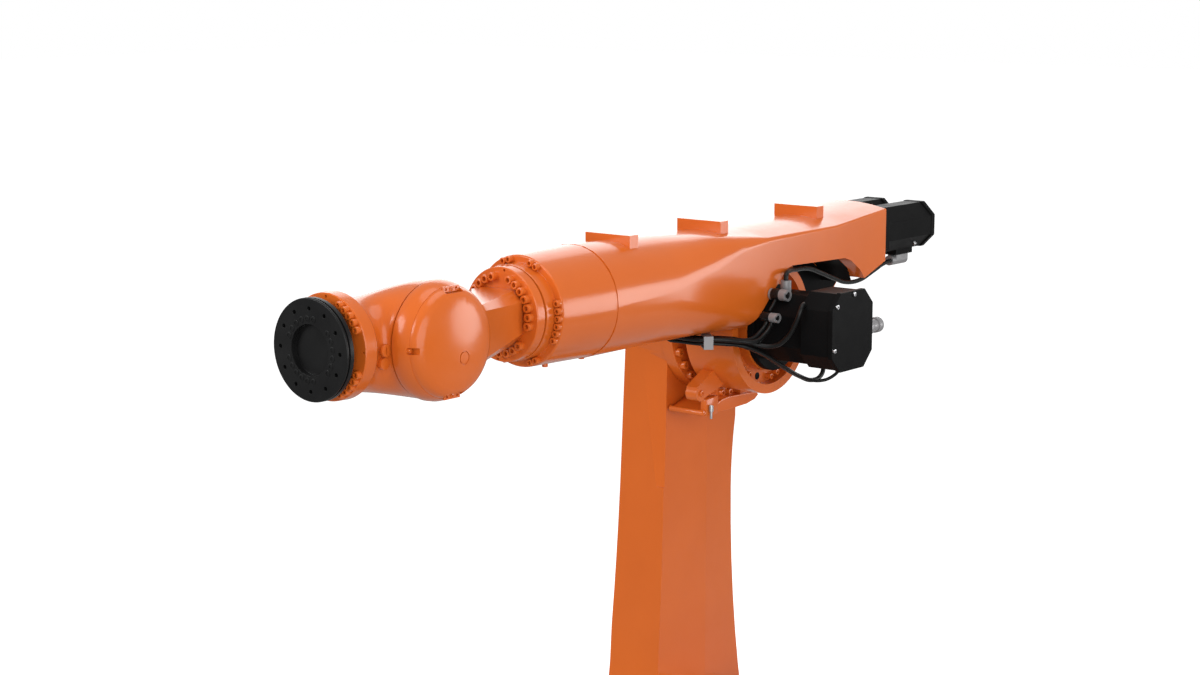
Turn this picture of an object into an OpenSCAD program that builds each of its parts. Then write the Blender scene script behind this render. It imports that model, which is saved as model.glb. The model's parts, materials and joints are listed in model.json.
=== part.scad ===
/* [Kinematics] */
// Height of the shoulder axis above the floor
shoulder_height = 945; // [900:5:990]
// Forward offset of the shoulder axis from the swivel axis
shoulder_forward = 500; // [470:5:530]
// Distance from the shoulder axis to the elbow axis
link_length = 1400; // [1350:5:1450]
// Rise of the wrist roll axis above the elbow axis
wrist_rise = 165; // [160:1:170]
// Distance from the elbow axis to the wrist bend axis
elbow_to_bend = 1500; // [1450:5:1600]
// Distance from the wrist bend axis to the tool flange face
bend_to_flange = 290; // [280:1:310]

/* [Base] */
// Side of the square foot of the base
foot_side = 1050; // [1000:5:1100]
// Thickness of the foot of the base
foot_h = 48; // [40:1:60]
// Distance of the floor bolts from the edges of the foot
floor_bolt_edge = 85; // [70:1:100]
// Radius of the floor bolt holes
floor_bolt_r = 14; // [12:0.5:16]
// Top of the base casting
base_top = 350; // [330:5:370]
// Radius of the base drum at its top
base_drum_r = 365; // [350:1:380]
// Radius of the turntable of the column
turntable_r = 392; // [385:1:400]
// Side of the swivel motor across its flats
swivel_motor_w = 200; // [180:1:210]
// Height of the swivel motor
swivel_motor_h = 330; // [300:5:350]
// Length of the shoulder motor
shoulder_motor_l = 306; // [280:1:320]

/* [Link arm] */
// Inner face of the link arm, on the near side
link_face = -160; // [-165:1:-158]
// Thickness of the link arm at the shoulder
link_t = 185; // [175:1:200]
// Radius of the shoulder end of the link arm
shoulder_r = 268; // [260:1:272]
// Radius of the elbow end of the link arm
elbow_r = 205; // [200:1:215]
// Reach of the link arm ahead of its axes
link_front = 190; // [180:1:200]
// Reach of the link arm behind its axes at the waist
link_rear = 181; // [172:1:190]
// Turn of the rear flank of the link arm
flank_turn = 5.5; // [4:0.5:8]

/* [Elbow] */
// Radius of the elbow ring bolted to the link arm
elbow_ring_r = 210; // [206:1:215]
// Thickness of the elbow ring
elbow_ring_t = 40; // [36:1:44]
// Radius of the elbow drum of the arm
drum_r = 200; // [195:1:205]
// Near end of the elbow drum
drum_end = 95; // [90:1:100]
// Side of the elbow motor across its flats
big_motor = 240; // [220:1:250]
// Near end of the elbow motor
big_motor_end = 400; // [380:1:420]

/* [Forearm] */
// Half width of the arm casting
arm_half = 150; // [145:1:150]
// Radius of the round front end of the arm casting
tube_r = 155; // [150:1:158]
// Reach of the arm casting behind the elbow axis
tail = 545; // [530:1:560]
// Reach of the arm casting ahead of the elbow axis
nose = 810; // [780:1:840]
// Distance from the front of the arm to the wrist bend axis
arm_front = 467; // [450:1:480]
// Width of the three saddle pads
pad_w = 155; // [140:1:160]
// Thickness of the saddle pads along the arm
pad_t = 38; // [32:1:44]
// Height of the saddle pads above the wrist roll axis
pad_top = 168.5; // [164:0.5:172]
// Side of the rear motors across their flats
small_motor = 146; // [130:1:148]
// Length of the rear motors
small_motor_l = 305; // [280:5:320]

/* [Wrist] */
// Radius of the roll ring in front of the arm
roll_ring_r = 126; // [122:1:130]
// Radius of the large ring at the front of the arm
front_ring_r = 149; // [146:1:152]
// Radius of the bend drum beside the hand
bend_drum_r = 149; // [146:1:152]
// Near end of the rim of the bend drum
bend_drum_end = 178; // [174:1:184]
// Face of the hand towards the bend drum
hand_face = 125; // [122:1:127]
// Radius of the front ring of the hand
hand_ring_r = 131; // [128:1:133]
// Radius of the tool flange
flange_r = 125; // [125:0.5:126]
// Thickness of the tool flange
flange_t = 24; // [20:1:28]
// Radius of the pilot bore of the tool flange
pilot_r = 62.5; // [60:0.5:65]
// Depth of the pilot bore of the tool flange
pilot_depth = 16; // [12:1:18]
// Diameter of the tool bolt circle
tool_pcd = 200; // [196:1:204]
// Radius of the tool bolt holes
tool_bolt_r = 5.1; // [4.5:0.1:6]
// Number of tool bolt holes
tool_bolts = 12; // [6:1:12]

/* [Hidden] */
$fn = 96;
bearing_gap = 0.3;
seam = 5;
floor_bolt_spacing = foot_side - 2 * floor_bolt_edge;
base_flare_r = base_drum_r + 65;
gusset_t = 64;
gusset_reach = 0.57 * foot_side;
gusset_top = 0.6 * base_top;
turntable_h = 62;
hub_r = shoulder_r - 18;
link_crease = -30;
elbow_x = shoulder_forward;
elbow_z = shoulder_height + link_length;
roll_z = elbow_z + wrist_rise;
bend_x = elbow_x + elbow_to_bend;
flange_x = bend_x + bend_to_flange;
arm_front_x = bend_x - arm_front;
nose_x = elbow_x + nose;
tail_x = elbow_x - tail;
ring_face = link_face + elbow_ring_t;
neck_face = ring_face + bearing_gap;
elbow_cover_y = link_face - link_t + 55;
cheek_half = 148;
boss_t = abs(link_face) - cheek_half - bearing_gap;
turntable_z = base_top + 32;
pocket_depth = 32;
stop_far = link_face + 6;
stop_near = -25;
pocket_r = 172;
roll_collar_l = 40;
roll_ring_back = arm_front_x + roll_collar_l + seam;
roll_ring_front = roll_ring_back + 28;
bend_drum_face = hand_face + seam;
clip_w = 56;
clip_h = 14;
clip_seat = bend_drum_r - 25;
jack_r = 3.5;
cover_mark = [-12, -36];
cover_mark_r = 17;
neck_u = 178;
neck_y = hand_face - 2;
neck_r = 113.5;
neck_up = 104;
neck_low = 120;
// Collar behind the hand ring: distance from the bend axis, half width, height above and below the axis
hand_collar = [
  [201, 131, 131, 131], [197, 131, 131, 131], [191, 127, 126, 128], [186, 120.5, 115, 124.5],
  [182, 116, 108, 122]
];
motor_box_y = big_motor_end - 110;
rear_plug = [tail_x - 245, small_motor / 2 + 2, roll_z + 66 - small_motor / 2 + 2];
motor_cap_w = big_motor - 24;
motor_cap_h = big_motor - 10;
motor_cap_at = [36, 25];
hand_front = flange_x - flange_t - 32;
// Width, top, underside, shoulder radius, belly radius and crown of the arm at offsets from the elbow axis
st_w = [[-600, 150], [360, 150], [530, 151], [810, 155], [900, 155]];
st_top = [
  [-600, 160], [-545, 159.5], [-478, 154], [-410, 148], [-335, 142], [-260, 138],
  [90, 136], [230, 139], [360, 142], [530, 148], [810, 155]
];
st_low = [[-600, -140], [90, -140], [230, -146], [360, -150], [530, -154], [810, -155]];
st_rt = [[-600, 5], [-410, 6], [-260, 8], [90, 14], [230, 48], [360, 98], [530, 140], [810, 150]];
st_rb = [[-600, 30], [90, 30], [230, 60], [360, 105], [530, 140], [810, 150]];
st_crown = [[-600, 17], [-410, 19], [-260, 24], [90, 26], [230, 20], [360, 10], [530, 1], [810, 0.5]];
stations = [
  -tail, -478, -410, -335, -260, -170, -85, 0, 90, 125, 160, 195, 230, 262, 295, 328, 360, 400, 445, 488,
  530, 600, 670, 740, nose
];
arch = [
  [173, -138], [95, -66], [14, 6], [-2, 15], [-25, 20], [-170, 16], [-310, 12], [-346, 1],
  [-396, -31], [-425, -62], [-553, -18], [-700, 33], [-700, -330], [173, -330]
];
arch_back = -10;
tail_cut = [[-470, -145], [-515, -100], [-553, -18], [-700, 33], [-700, -330], [-470, -330]];
cable_r = 7;
thin_r = 5;
cable_pitch = 15;
cable_layer = 13.5;
cable_inlet = [335, -61, -112];
// Path of the cable bundle: place, direction of its width, turn of its layers
bundle = [
  [335, -55, -112.4, 0, 90], [335, -55, -120, 0, 90], [335, -55, -128, 0, 90], [335, -49, -146, 0, 60],
  [335, -28, -158, 0, 15], [334, 10, -159.5, 4, 0], [334, 50, -160, 14, 0], [329, 79, -160, 40, 0],
  [318, 90, -160, 45, 0], [307, 101, -160, 45, 0], [277, 126, -163, 48, 0], [246, 146, -168, 50, 0]
];
clamp_at = 8;
route_front = concat(strand(-cable_pitch, 0), [
  [206, 178, -182], [178, 228, -184], [166, 262, -158], [163, 285, -122], [160, 300, -84], [148, 300, -66],
  [134, 297, -62]
]);
route_loop = concat(strand(-cable_pitch / 2, cable_layer), [
  [214, 160, -192], [167, 178, -214], [93, 195, -258], [20, 210, -298], [-32, 220, -316], [-72, 224, -308],
  [-92, 220, -285], [-90, 216, -262], [-88, 214, -252]
]);
route_thin = concat(strand(cable_pitch / 2, cable_layer), [
  [216, 176, -194], [160, 192, -222], [88, 212, -266], [20, 232, -302], [-20, 256, -312], [-46, 280, -301],
  [-56, 300, -276], [-53, 308, -248], [-48.5, 309, -229.7]
]);
route_inner = concat(strand(0, 0), [
  [205, 166, -168], [165, 168, -152], [142, 169, -136], [137, 170, -126.3]
]);
route_outer = concat(strand(cable_pitch, 0), [
  [214, 184, -172], [170, 188, -156], [145, 188, -138], [138, 188, -126.3]
]);
route_link = [[130.7, 176, -95], [122, 176, -87], [112, 176, -78], [102, 176, -66]];
route_upper = [
  [48, 176, -13.3], [48, 176, -9], [47, 175.5, -2], [38, 171, 5], [22, 165, 8], [0, 157, 8], [-57, 138, 3],
  [-159, 122, -6], [-225, 120, -26], [-308, 118, -54], [-361, 116, -70], [-445, 112, -76], [-567, 96, -58],
  [-640, 84, -46], [-689, 80, -42]
];

function strand(side, layer) = [
  for (p = bundle)
    [p[0] + side * cos(p[3]), p[1] + side * sin(p[3]) - layer * sin(p[4]), p[2] - layer * cos(p[4])]
];
function bow(x, z0, r, zs) = [for (z = zs) [x + sign(x) * (r - sqrt(r * r - (z - z0) * (z - z0))), z]];
function hand_ring_at(turn, d, r, up, low, n) = [
  for (i = [0:n - 1])
    let (e = d + r * cos(360 * i / n), h = sin(360 * i / n))
    [bend_x + neck_u - e * sin(turn), neck_y - e * cos(turn), roll_z + (h > 0 ? up : low) * h]
];
function arc(cx, cy, r, a0, a1, n) =
  [for (i = [0:n]) [cx + r * cos(a0 + (a1 - a0) * i / n), cy + r * sin(a0 + (a1 - a0) * i / n)]];
function crown(w, rt, top, s, m) =
  [for (i = [1:m - 1]) let (y = (w - rt) * (1 - 2 * i / m)) [y, top - s * pow(y / w, 2)]];
function shoulder_z(w, rt, top, s) = top - s * pow((w - rt) / w, 2) - rt;
function section(w, top, low, rt, rb, s) = concat(
  arc(w - rt, shoulder_z(w, rt, top, s), rt, 0, 90, 7),
  crown(w, rt, top, s, 6),
  arc(rt - w, shoulder_z(w, rt, top, s), rt, 90, 180, 7),
  arc(rb - w, low + rb, rb, 180, 270, 7),
  arc(w - rb, low + rb, rb, 270, 360, 7)
);
function arm_section(o) = section(
  lookup(o, st_w) + arm_half - 150, lookup(o, st_top), lookup(o, st_low),
  lookup(o, st_rt), lookup(o, st_rb), lookup(o, st_crown)
);
function flat(lists) = [for (l = lists) for (v = l) v];
function total(l, i) = i < 0 ? [0, 0, 0] : l[i] + total(l, i - 1);
function middle(l) = total(l, len(l) - 1) / len(l);
function unit(v) = v / norm(v);
function tube_ring(p, t, r, n) =
  let (a = unit(cross(t, abs(t[2]) < 0.9 ? [0, 0, 1] : [1, 0, 0])))
  let (b = cross(unit(t), a))
  [for (i = [0:n - 1]) p + r * cos(360 * i / n) * a + r * sin(360 * i / n) * b];
function spline(p, k, u) =
  let (a = p[max(k - 1, 0)])
  let (b = p[k])
  let (c = p[k + 1])
  let (d = p[min(k + 2, len(p) - 1)])
  0.5 * (2 * b + (c - a) * u + (2 * a - 5 * b + 4 * c - d) * u * u + (3 * b - a - 3 * c + d) * u * u * u);
function smooth(p, n) =
  concat([for (k = [0:len(p) - 2]) for (i = [0:n - 1]) spline(p, k, i / n)], [p[len(p) - 1]]);

module loft(rings) {
  n = len(rings[0]);
  m = len(rings);
  lower = [
    for (j = [0:m - 2]) for (i = [0:n - 1]) [j * n + i, (j + 1) * n + (i + 1) % n, j * n + (i + 1) % n]
  ];
  upper = [
    for (j = [0:m - 2]) for (i = [0:n - 1]) [j * n + i, (j + 1) * n + i, (j + 1) * n + (i + 1) % n]
  ];
  start = [for (i = [0:n - 1]) [i, (i + 1) % n, m * n]];
  finish = [for (i = [0:n - 1]) [(m - 1) * n + (i + 1) % n, (m - 1) * n + i, m * n + 1]];
  centres = [middle(rings[0]), middle(rings[m - 1])];
  polyhedron(points = concat(flat(rings), centres), faces = concat(lower, upper, start, finish));
}

module cable(route, r) {
  p = smooth(route, 2);
  m = len(p);
  rings = [for (i = [0:m - 1]) tube_ring(p[i], p[min(i + 1, m - 1)] - p[max(i - 1, 0)], r, 12)];
  translate([elbow_x, 0, roll_z]) loft(rings);
}

module x_rod(x0, x1, r) {
  translate([x0, 0, 0]) rotate([0, 90, 0]) cylinder(h = x1 - x0, r = r);
}

module y_rod(y0, y1, r) {
  translate([0, y0, 0]) rotate([-90, 0, 0]) cylinder(h = y1 - y0, r = r);
}

module x_spin(profile) {
  rotate([0, 90, 0]) rotate_extrude() polygon([for (p = profile) [p[1], p[0]]]);
}

module y_spin(profile) {
  rotate([-90, 0, 0]) rotate_extrude() polygon([for (p = profile) [p[1], p[0]]]);
}

module octagon(w, h, c) {
  polygon([
    [-w / 2, -h / 2 + c], [-w / 2 + c, -h / 2], [w / 2 - c, -h / 2], [w / 2, -h / 2 + c],
    [w / 2, h / 2 - c], [w / 2 - c, h / 2], [-w / 2 + c, h / 2], [-w / 2, h / 2 - c]
  ]);
}

module y_prism(y0, y1, w, h, c) {
  translate([0, y1, 0]) rotate([90, 0, 0]) linear_extrude(y1 - y0) octagon(w, h, c);
}

module x_prism(x0, x1, w, h, c) {
  translate([x0, 0, 0]) rotate([90, 0, 90]) linear_extrude(x1 - x0) octagon(w, h, c);
}

module slab(side, h, r) {
  for (a = [0, 90])
    rotate(a) translate([-side / 2 + r, -side / 2, 0]) cube([side - 2 * r, side, h]);
  for (x = [-1, 1], y = [-1, 1])
    translate([x * (side / 2 - r), y * (side / 2 - r), 0]) cylinder(h = h, r = r);
}

module base_frame() {
  color([0.82, 0.29, 0.09])
  difference() {
    union() {
      slab(foot_side, foot_h, 0.105 * foot_side);
      rotate_extrude() polygon([
        [0, foot_h - 1], [base_flare_r, foot_h - 1], [base_flare_r, foot_h + 20],
        [base_drum_r + 18, foot_h + 90], [base_drum_r, base_top - 60],
        [base_drum_r, base_top], [0, base_top]
      ]);
      for (a = [45:90:315])
        rotate(a) translate([0, gusset_t / 2, foot_h - 1]) rotate([90, 0, 0]) linear_extrude(gusset_t)
          polygon([
            [base_drum_r - 65, 0], [gusset_reach, 0], [gusset_reach, 18], [base_drum_r - 4, gusset_top],
            [base_drum_r - 65, gusset_top]
          ]);
      translate([-base_drum_r - 60, -base_drum_r / 3, foot_h - 1])
        cube([base_drum_r / 3, base_drum_r / 1.5, base_drum_r / 2]);
    }
    for (x = [-1, 1], y = [-1, 1])
      translate([x * floor_bolt_spacing / 2, y * floor_bolt_spacing / 2, -1])
        cylinder(h = foot_h + 60, r = floor_bolt_r);
    for (x = [-1, 1], y = [-1, 1])
      translate([x * floor_bolt_spacing / 2, y * floor_bolt_spacing / 2, foot_h])
        cylinder(h = gusset_top, r = floor_bolt_r + 24);
  }
}

module slewing_ring() {
  color([0.55, 0.56, 0.58])
  translate([0, 0, base_top]) cylinder(h = turntable_z - base_top - bearing_gap, r = base_drum_r - 12);
}

module column_side() {
  rise = shoulder_height - turntable_z;
  polygon([
    [-0.3 * turntable_r, turntable_h - 20], [0.96 * turntable_r, turntable_h - 20],
    [1.1 * turntable_r, 0.2 * rise],
    [shoulder_forward + 0.6 * hub_r, rise - 0.8 * hub_r], [shoulder_forward, rise],
    [shoulder_forward - 0.8 * hub_r, rise + 0.6 * hub_r], [0.34 * turntable_r, 0.8 * rise],
    [0, 0.5 * rise], [-0.25 * turntable_r, 0.25 * rise]
  ]);
}

module swivel_column() {
  color([0.82, 0.29, 0.09])
  union() {
    translate([0, 0, turntable_z]) cylinder(h = turntable_h, r = turntable_r);
    translate([0.23 * turntable_r, 0, turntable_z + turntable_h - 1])
      cylinder(h = 0.42 * turntable_r, r1 = 0.6 * turntable_r, r2 = cheek_half - 2);
    translate([0, cheek_half, turntable_z]) rotate([90, 0, 0]) linear_extrude(2 * cheek_half) column_side();
    translate([shoulder_forward, 0, shoulder_height]) y_rod(-cheek_half, cheek_half, hub_r);
    translate([shoulder_forward, 0, shoulder_height]) y_rod(-cheek_half - boss_t, 0, hub_r - 35);
    translate([shoulder_forward, 0, shoulder_height]) y_rod(0, cheek_half + 30, 0.8 * big_motor);
  }
}

module swivel_motor() {
  color([0.06, 0.06, 0.07])
  translate([-0.66 * turntable_r, 0, turntable_z + turntable_h]) {
    linear_extrude(24) octagon(1.1 * swivel_motor_w, 1.1 * swivel_motor_w, 0.1 * swivel_motor_w);
    linear_extrude(swivel_motor_h - 30) octagon(swivel_motor_w, swivel_motor_w, 0.24 * swivel_motor_w);
    linear_extrude(swivel_motor_h)
      octagon(0.85 * swivel_motor_w, 0.85 * swivel_motor_w, 0.2 * swivel_motor_w);
  }
}

module shoulder_motor() {
  color([0.06, 0.06, 0.07])
  translate([shoulder_forward, cheek_half + 30, shoulder_height]) {
    y_prism(0, 24, big_motor + 20, big_motor + 20, 20);
    y_prism(24, shoulder_motor_l - 26, big_motor, big_motor, 0.26 * big_motor);
  }
}

module shoulder_motor_cap() {
  color([0.09, 0.09, 0.10])
  translate([shoulder_forward, cheek_half + 30, shoulder_height])
    y_prism(shoulder_motor_l - 26, shoulder_motor_l, big_motor - 6, big_motor - 6, 0.25 * big_motor);
}

module link_side() {
  polygon(concat(
    [[link_front, link_length]],
    bow(link_front, 0.72 * link_length, 9000, [for (t = [0.72:-0.08:0.2]) t * link_length]),
    [[shoulder_r - 30, 0.12 * link_length], [shoulder_r - 10, 0.06 * link_length]],
    [[shoulder_r, 0], [-shoulder_r, 0]],
    bow(-link_rear, 0.6 * link_length, 3100, [for (t = [0.09:0.085:0.6]) t * link_length]),
    bow(-link_rear, 0.6 * link_length, 1060, [for (t = [0.64:0.04:0.76]) t * link_length]),
    [[-elbow_r, 0.84 * link_length], [-elbow_r, link_length]]
  ));
}

module link_web() {
  difference() {
    translate([0, link_face, 0]) rotate([90, 0, 0]) linear_extrude(link_t) link_side();
    translate([link_crease, link_face, 0]) rotate(flank_turn) translate([-600, 0, -100])
      cube([600, 100, link_length + 200]);
    translate([link_front, link_face - 83, link_length - 76]) rotate([2, -1.2, 0]) rotate(11.3)
      translate([0, 0, -420]) cube([100, 200, 900]);
  }
}

module link_arm() {
  color([0.82, 0.29, 0.09])
  translate([shoulder_forward, 0, shoulder_height])
  difference() {
    union() {
      y_rod(link_face - link_t, link_face, shoulder_r);
      translate([0, 0, link_length]) y_rod(link_face - link_t, link_face, elbow_r);
      link_web();
    }
    translate([-600, link_face - link_t, 0.32 * link_length]) rotate([-2.5, 0, 0])
      translate([0, -200, 0]) cube([1200, 200, link_length + 500]);
    translate([0, 0, link_length]) y_rod(link_face - link_t - 50, elbow_cover_y, 150);
  }
}

module shoulder_cover() {
  color([0.82, 0.29, 0.09])
  translate([shoulder_forward, 0, shoulder_height]) y_rod(link_face - link_t - 22, link_face - link_t, 190);
}

module elbow_cover() {
  color([0.82, 0.29, 0.09])
  translate([elbow_x, 0, elbow_z]) y_rod(elbow_cover_y - 36, elbow_cover_y, 150);
}

module elbow_ring() {
  color([0.82, 0.29, 0.09])
  translate([elbow_x, 0, elbow_z]) y_rod(link_face, ring_face, elbow_ring_r);
}

module stop_block() {
  color([0.82, 0.29, 0.09])
  translate([elbow_x, 0, elbow_z])
  difference() {
    union() {
      translate([0, stop_near, 0]) rotate([90, 0, 0]) linear_extrude(stop_near - stop_far)
        polygon([
          [176, -253], [150, -258], [60, -260], [-50, -257], [-92, -249], [-112, -237], [-104, -227],
          [-60, -223], [40, -219], [84, -223]
        ]);
      translate([-70, stop_near - 75, -230]) cube([125, 42, 45]);
    }
    y_rod(stop_far - 10, drum_end, drum_r + bearing_gap);
  }
}

module grease_fitting() {
  color([0.70, 0.70, 0.72])
  translate([elbow_x + 146, stop_near + 7.2, elbow_z - 270]) {
    cylinder(h = 42, r = 4);
    translate([0, 0, 22]) cylinder(h = 18, r = 7, $fn = 24);
  }
}

module stop_lug() {
  translate([elbow_x, 0, elbow_z]) {
    rotate([90, 0, 0]) linear_extrude(40) {
      polygon([
        [90, -90], [127, -122], [167, -122], [240, -160], [222, -203], [184, -190], [122, -174], [60, -150]
      ]);
      translate([222, -180]) circle(r = 23);
    }
    translate([222, 0, -180]) y_rod(-20, 3, 10);
  }
}

module saddle(o) {
  translate([elbow_x + o - pad_t, -pad_w / 2, roll_z + 100]) cube([pad_t, pad_w, pad_top - 100]);
}

module arm_casting() {
  color([0.82, 0.29, 0.09])
  union() {
    difference() {
      union() {
        difference() {
          loft([for (o = stations) [for (p = arm_section(o)) [elbow_x + o, p[0], roll_z + p[1]]]]);
          translate([elbow_x, 400, roll_z]) rotate([90, 0, 0]) linear_extrude(400 - arch_back) polygon(arch);
          translate([elbow_x, arch_back + 1, roll_z]) rotate([90, 0, 0]) linear_extrude(400) polygon(tail_cut);
        }
        translate([elbow_x, 0, elbow_z]) y_rod(-76, drum_end, drum_r);
      }
      translate([elbow_x, 0, elbow_z]) y_rod(link_face - 200, ring_face + 7, elbow_ring_r + 7);
      translate([elbow_x, 0, elbow_z]) y_rod(drum_end - pocket_depth, drum_end + 1, pocket_r);
      translate([elbow_x, 0, roll_z] + cable_inlet) translate([-28, -30, -80]) cube([56, 70, 80]);
    }
    translate([elbow_x, 0, elbow_z]) y_rod(neck_face, drum_end, 132);
    stop_lug();
    for (o = [663, 240, -260]) saddle(o);
  }
}

module elbow_motor_flange() {
  color([0.06, 0.06, 0.07])
  translate([elbow_x, drum_end, elbow_z]) y_rod(0, 22, 128);
}

module elbow_motor() {
  color([0.06, 0.06, 0.07])
  translate([elbow_x + 20, 0, elbow_z + 15])
    y_prism(drum_end + 22, motor_box_y, big_motor - 40, big_motor - 40, 55);
}

module elbow_motor_cap() {
  color([0.09, 0.09, 0.10])
  translate([elbow_x + motor_cap_at[0], 0, elbow_z + motor_cap_at[1]]) {
    y_prism(motor_box_y, big_motor_end - 14, motor_cap_w - 8, motor_cap_h - 8, 45);
    y_prism(big_motor_end - 15, big_motor_end, motor_cap_w, motor_cap_h, 45);
  }
}

module elbow_connector() {
  color([0.60, 0.60, 0.62])
  translate([elbow_x + motor_cap_at[0] - motor_cap_w / 2 + 4, big_motor_end - 40, elbow_z + 35])
    rotate([0, -90, 0]) {
      cylinder(h = 10, r = 24);
      cylinder(h = 40, r = 20);
    }
}

module rear_motor(side) {
  translate([0, side * (small_motor / 2 + 2), roll_z + 66]) {
    x_prism(tail_x - 26, tail_x, small_motor, small_motor, 18);
    x_prism(tail_x - small_motor_l + 22, tail_x - 26, small_motor - 4, small_motor - 4, 42);
  }
}

module rear_motor_left() {
  color([0.06, 0.06, 0.07]) {
    rear_motor(1);
    translate(rear_plug) translate([0, -26, -18]) cube([100, 52, 18.5]);
  }
}

module rear_motor_right() {
  color([0.06, 0.06, 0.07]) rear_motor(-1);
}

module rear_cap(side) {
  translate([0, side * (small_motor / 2 + 2), roll_z + 66])
    x_prism(tail_x - small_motor_l, tail_x - small_motor_l + 22, small_motor, small_motor, 40);
}

module rear_motor_cap_left() {
  color([0.09, 0.09, 0.10]) rear_cap(1);
}

module rear_motor_cap_right() {
  color([0.09, 0.09, 0.10]) rear_cap(-1);
}

module rear_connector() {
  color([0.60, 0.60, 0.62])
  translate(rear_plug) {
    translate([10, 0, -37]) x_rod(0, 90, 16);
    translate([10, -16, -37]) cube([70, 32, 18.7]);
  }
}

module cable_sleeves() {
  color([0.60, 0.60, 0.62])
  translate([elbow_x, 0, roll_z]) {
    translate([90, 0, -50.5]) y_rod(152, 210, 17);
    translate([134.3, 0, -111.5]) y_rod(155, 206, 14);
    translate([48, 176, -49.7]) cylinder(h = 36, r = 16);
  }
}

module cable_clamp() {
  at = bundle[clamp_at];
  color([0.60, 0.60, 0.62])
  translate([elbow_x + at[0], at[1], roll_z]) rotate(at[3])
    rotate([90, 0, 0]) translate([0, 0, -14]) linear_extrude(28) difference() {
      translate([-28, -187]) square([56, 38.2]);
      translate([-23.5, -182]) square([47, 30]);
    }
}

module cable_harness() {
  color([0.03, 0.03, 0.03])
  union() {
    cable(route_front, cable_r);
    cable(route_loop, cable_r);
    cable(route_thin, thin_r);
    cable(route_inner, cable_r);
    cable(route_outer, cable_r);
    cable(route_link, thin_r);
  }
}

module upper_cable() {
  color([0.03, 0.03, 0.03]) cable(route_upper, cable_r);
}

module arm_sleeve() {
  color([0.82, 0.29, 0.09])
  translate([0, 0, roll_z]) x_spin([
    [nose_x, 0], [nose_x, tube_r - 1], [nose_x + 8, tube_r - 0.6], [arm_front_x - 3, front_ring_r],
    [arm_front_x, front_ring_r - 3], [arm_front_x, roll_ring_r + 2],
    [arm_front_x + roll_collar_l, roll_ring_r + 2], [arm_front_x + roll_collar_l, 0]
  ]);
}

module roll_ring() {
  color([0.82, 0.29, 0.09])
  translate([0, 0, roll_z]) difference() {
    x_spin([
      [roll_ring_back - seam + bearing_gap, 0], [roll_ring_back - seam + bearing_gap, 92],
      [roll_ring_back, 92], [roll_ring_back, roll_ring_r], [roll_ring_front - 3, roll_ring_r - 1],
      [roll_ring_front, roll_ring_r - 3], [roll_ring_front, 0]
    ]);
    for (a = [0, 180])
      rotate([a, 0, 0]) translate([0, 12, roll_ring_r - 9])
        x_rod(roll_ring_front - 14, roll_ring_front + 1, jack_r);
  }
}

module wrist_housing() {
  color([0.82, 0.29, 0.09])
  difference() {
    union() {
      hull() {
        translate([0, 0, roll_z]) x_prism(roll_ring_front, roll_ring_front + 60, 156, 140, 30);
        translate([bend_x, bend_drum_face + 18, roll_z]) x_prism(-150, -125, 46, 144, 14);
      }
      translate([bend_x, bend_drum_face + 18, roll_z]) x_prism(-130, -60, 46, 144, 14);
      translate([bend_x, 0, roll_z]) y_spin([
        [bend_drum_face, 0], [bend_drum_face, bend_drum_r - 1], [bend_drum_face + 4, bend_drum_r],
        [bend_drum_face + 20, bend_drum_r - 1], [bend_drum_end - 10, bend_drum_r - 6],
        [bend_drum_end, bend_drum_r - 11], [bend_drum_end, 0]
      ]);
    }
    translate([bend_x, 0, roll_z]) y_rod(-300, bend_drum_face, bend_drum_r + 8);
    pin_notch();
  }
}

module pin_notch() {
  translate([bend_x + bend_drum_r - 24, bend_drum_end - 6, roll_z - 12]) cube([30, 40, 16]);
}

module bend_cover() {
  color([0.82, 0.29, 0.09])
  difference() {
    translate([bend_x, bend_drum_end, roll_z]) y_spin([
      [0, 0], [0, bend_drum_r - 12], [10, bend_drum_r - 14.5], [21, bend_drum_r - 22],
      [30, bend_drum_r - 37], [36, bend_drum_r - 64], [40, bend_drum_r - 104], [41, 0]
    ]);
    for (s = [0, 180])
      translate([bend_x, bend_drum_end, roll_z]) rotate([0, s, 0])
        translate([-clip_w / 2 - 2, 4, clip_seat - 2]) cube([clip_w + 4, 60, 60]);
    translate([bend_x + cover_mark[0], bend_drum_end, roll_z + cover_mark[1]]) difference() {
      y_rod(37, 50, cover_mark_r);
      y_rod(36, 51, cover_mark_r - 2.4);
    }
    pin_notch();
  }
}

module bend_clips() {
  color([0.82, 0.29, 0.09])
  translate([bend_x, bend_drum_end, roll_z])
    for (s = [0, 180])
      rotate([0, s, 0]) translate([0, 4, clip_seat]) difference() {
        translate([-clip_w / 2, 0, 0]) cube([clip_w, 5, clip_h]);
        for (x = [-18, 18]) translate([x, 0, clip_h / 2]) y_rod(-1, 6, jack_r);
      }
}

module plug_seats() {
  translate([bend_x + 155, 0, roll_z - 7]) y_rod(100, 119, 13);
  translate([bend_x + 158, 0, roll_z - 37]) y_rod(97, 113, 13);
}

module hand_housing() {
  color([0.82, 0.29, 0.09])
  difference() {
    union() {
      loft(concat(
        [for (c = hand_collar)
          [for (p = hand_ring_at(0, neck_y, c[1], c[2], c[3], 48)) p + [c[0] - neck_u, 0, 0]]],
        [for (a = [0:7.5:90])
          let (g = pow(sin(a), 2), k = pow(sin(a), 3), end = bend_drum_r - 2.5)
          hand_ring_at(
            a, neck_y + (neck_u - neck_y) * g, neck_r + (end - neck_r) * g,
            neck_up + (end - neck_up) * k, neck_low + (end - neck_low) * g, 48
          )],
        [[for (p = hand_ring_at(90, neck_u, bend_drum_r - 2, bend_drum_r - 2, bend_drum_r - 2, 48))
          p + [0, hand_face - neck_y, 0]]]
      ));
      translate([bend_x, 0, roll_z]) y_rod(hand_face - 1, hand_face + seam - bearing_gap, 100);
    }
    plug_seats();
  }
}

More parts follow.
